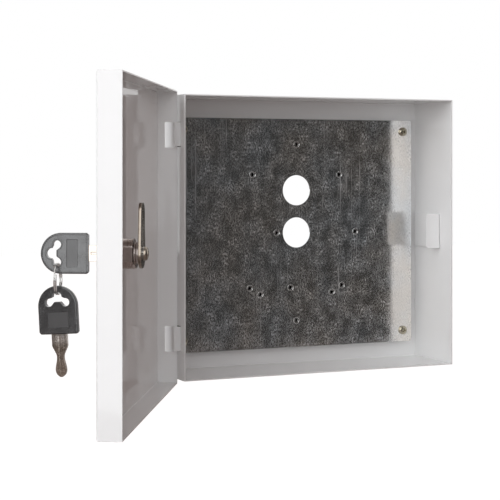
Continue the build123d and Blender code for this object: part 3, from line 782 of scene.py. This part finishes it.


# The cam and its screw get a darker, warmer tone than the washers' nickel: painted shade over their real
# plating and rub marks.
punched = rubbed_metal("plated_steel", (240.0, 3500.0), 2.2, 0.2, ((0.27, 0.22, 0.18), (0.47, 0.41, 0.345)),
                       (1.2, 0.16, 0.28), 0.00002, 0.2)
finished(eased("stop_washer", "lug_washer", 0.0002, "plug"), nickel)
finished(eased("cam_spacer", "plain_ring", 0.0002, "plug"), nickel)
finished(eased("lock_cam", "flat_cam", 0.00035, "plug"), punched)


# The split spring washer and the screw that hold the cam on the plug. The screw is the plate screws'
# bigger brother: steel, a pan head with a cross recess, plated like the cam.
finished(eased("cam_spring_washer", "split_spring_washer", 0.00012, "plug"), posts)
CAM_SEAT, CAM_HEAD_R, CAM_HEAD_H, CAM_SCREW_L, CROSS_DEG = 0.02286, 0.0044, 0.0027, 0.0040, 30
cam_screw = pan_head_screw("cam_pan_screw", CAM_HEAD_R, CAM_HEAD_H, M4_R, CAM_SCREW_L)
seat = Matrix.Translation((0, 0, CAM_SEAT)) @ Matrix.Rotation(math.radians(CROSS_DEG), 4, "Z")
cam_screw.data.transform(LOCK_PLACE @ seat)
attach(cam_screw, "plug")
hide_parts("cam_screw")
finished(cam_screw, punched)


# The key in the lock: a blade of nickel-plated brass, milled on both edges and grooved on both faces,
# moulded into a black plastic head. The head has a raised rim, a three-lobed hole and a plain panel.
key_metal = rubbed_metal("warm_nickel", (260.0, 3000.0), 1.8, 0.5, ((0.50, 0.43, 0.37), (0.78, 0.71, 0.65)),
                         (1.1, 0.12, 0.24), 0.00004, 0.5)
BLADE_EDGE_R, HEAD_EDGE_R, STEP_SHARE, PANEL_DEPTH = 0.00018, 0.0009, 0.17, 0.0006


def head_marks(work):
    """Gives a head's outer corners the whole rounding and its steps a part, and marks the sunk panels."""
    way = max(work.faces, key=lambda face: face.calc_area()).normal.copy()
    low = min(vert.co.dot(way) for vert in work.verts)
    high = max(vert.co.dot(way) for vert in work.verts)
    share = work.edges.layers.float.new("bevel_weight_edge")
    sunk = work.faces.layers.float.new("sunk")
    full_height = set()
    for face in work.faces:
        rises = [vert.co.dot(way) for vert in face.verts]
        if max(rises) - min(rises) > 0.9 * (high - low):
            full_height.add(face)
        elif max(rises) - min(rises) < 1e-5 and low + PANEL_DEPTH < rises[0] < high - PANEL_DEPTH:
            face[sunk] = 1.0
    rims = []
    while full_height:
        rim, reached = set(), [full_height.pop()]
        while reached:
            face = reached.pop()
            rim.add(face)
            near = {other for edge in face.edges for other in edge.link_faces} & full_height
            full_height -= near
            reached += near
        rims.append(rim)
    outer = max(rims, key=lambda rim: sum(face.calc_area() for face in rim))
    for edge in work.edges:
        if edge.is_manifold and edge.calc_face_angle() > math.radians(40):
            sides = [face in outer for face in edge.link_faces]
            edge[share] = 1.0 if any(sides) and not all(sides) else STEP_SHARE


black_plastic, tree, plastic = shaded("black_plastic", Specular_IOR_Level=1.0, Coat_Weight=0.95,
                                      Coat_Roughness=0.2)
skin = use_group(tree, FINISH, Cloud_scale=150.0, Grain_scale=950.0)
# The sunk panels are painted a little paler than the rest of the head, a painted sheen; they are rougher
# too.
panel = tree.nodes.new("ShaderNodeAttribute")
panel.attribute_name = "sunk"
panel_sheen = math_node(tree, "MULTIPLY", panel.outputs["Fac"], 0.5)
tone = math_node(tree, "ADD", skin.outputs["Clouds"], panel_sheen)
tree.links.new(two_tones(tree, tone, (0.016, 0.016, 0.017), (0.034, 0.033, 0.034)),
               plastic.inputs["Base Color"])
tree.links.new(spread(tree, tone, 0.35, 1.0, 0.16, 0.44), plastic.inputs["Roughness"])
relief(tree, skin.outputs["Grain"], plastic, 0.00012, 0.8)
finished(eased("key_blade", "milled_blade", BLADE_EDGE_R, "key"), key_metal)
finished(eased("key_head", "moulded_head", HEAD_EDGE_R, "key", 4, head_marks), black_plastic)


# The split ring: hard steel wire wound almost twice round, bright nickel plated, its ends cut square.
# A node tree winds it, and it hangs in the lower lobe of the first key's head.
RING_R, RING_TURNS, RING_PITCH, WIRE_R, END_DEG = 0.00975, 1.9, 0.00115, 0.00054, 182
ring_wire, given, out = node_tree("split_ring", [
    ("Finish", "Material", None), ("Radius", "Float", RING_R), ("Turns", "Float", RING_TURNS),
    ("Pitch", "Float", RING_PITCH), ("Wire", "Float", WIRE_R)])
coil = ring_wire.nodes.new("GeometryNodeCurveSpiral")
coil.inputs["Resolution"].default_value = 72
connect(ring_wire, given, "Turns", coil, "Rotations")
connect(ring_wire, given, "Radius", coil, "Start Radius")
connect(ring_wire, given, "Radius", coil, "End Radius")
coil_height = math_node(ring_wire, "MULTIPLY", given.outputs["Turns"], given.outputs["Pitch"])
ring_wire.links.new(coil_height, coil.inputs["Height"])
wire = ring_wire.nodes.new("GeometryNodeCurvePrimitiveCircle")
wire.inputs["Resolution"].default_value = 16
connect(ring_wire, given, "Wire", wire, "Radius")
wound = ring_wire.nodes.new("GeometryNodeCurveToMesh")
wound.inputs["Fill Caps"].default_value = True
connect(ring_wire, coil, "Curve", wound, "Curve")
connect(ring_wire, wire, "Curve", wound, "Profile Curve")
finish_tree(ring_wire, wound, "Mesh", given, out)

bright = even_metal("bright_nickel", 300.0, 4000.0, (0.80, 0.79, 0.78), (0.92, 0.91, 0.89), 0.10, 0.20)[0]
split_ring = grown("split_key_ring", ring_wire, "ring", "key_ring", Finish=bright, Radius=RING_R,
                   Turns=RING_TURNS, Pitch=RING_PITCH, Wire=WIRE_R)
ring_middle = Vector(JOINTS["ring_swing"]["pos_m"]) - Vector((0, 0, RING_R))
centred = Matrix.Rotation(math.radians(END_DEG - 180 * RING_TURNS), 4, "Z") @ Matrix.Translation(
    (0, 0, -RING_PITCH * RING_TURNS / 2))
split_ring.data.transform(frame_at(ring_middle, across_door, -lock_axis) @ centred)
split_ring.data.shade_smooth()
split_ring.data.set_sharp_from_angle(angle=math.radians(50))


# The second key hangs on the ring with its tip down, its blade and head as the first one's. Its blade is
# painted brighter next to the head, a painted highlight, and turns darker towards the tip.
spare_blade_metal = key_metal.copy()
spare_blade_metal.name = "worn_warm_nickel"
tree = spare_blade_metal.node_tree
metal = tree.nodes["Principled BSDF"]
tinted = metal.inputs["Base Color"].links[0].from_socket
spot = tree.nodes.new("ShaderNodeTexCoord").outputs["Object"]
split = tree.nodes.new("ShaderNodeSeparateXYZ")
tree.links.new(spot, split.inputs["Vector"])
# The mask is 0 next to the head, where the blade is painted brighter as a painted highlight, and 1 towards
# the tip, where it is darker.
tip_z, DARKEST_TO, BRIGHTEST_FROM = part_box("spare_key_blade")[0].z, 0.018, 0.024
tip_ward = spread(tree, split.outputs["Z"], tip_z + DARKEST_TO, tip_z + BRIGHTEST_FROM, 1.0, 0.0)
stains = spread(tree, noise_node(tree, spot, 900.0, 2), 0.42, 0.58, 0.45, 1.15)
# Next to the head the colour is brightened as a painted highlight, and towards the tip it is
# darkened; both carry the same stains.
for blend, mask, tint in (("SCREEN", math_node(tree, "SUBTRACT", stains, tip_ward), (0.94, 0.85, 0.78, 1)),
                          ("MULTIPLY", math_node(tree, "MULTIPLY", tip_ward, stains), (0.50, 0.46, 0.42, 1))):
    lightened_or_darkened = tree.nodes.new("ShaderNodeMix")
    lightened_or_darkened.data_type = "RGBA"
    lightened_or_darkened.blend_type = blend
    tree.links.new(tinted, lightened_or_darkened.inputs["A"])
    tree.links.new(mask, lightened_or_darkened.inputs["Factor"])
    lightened_or_darkened.inputs["B"].default_value = tint
    tinted = lightened_or_darkened.outputs["Result"]
tree.links.new(tinted, metal.inputs["Base Color"])
finished(eased("spare_key_blade", "spare_milled_blade", BLADE_EDGE_R, "spare_key"), spare_blade_metal)
finished(eased("spare_key_head", "spare_moulded_head", HEAD_EDGE_R, "spare_key", 4, head_marks),
         black_plastic)
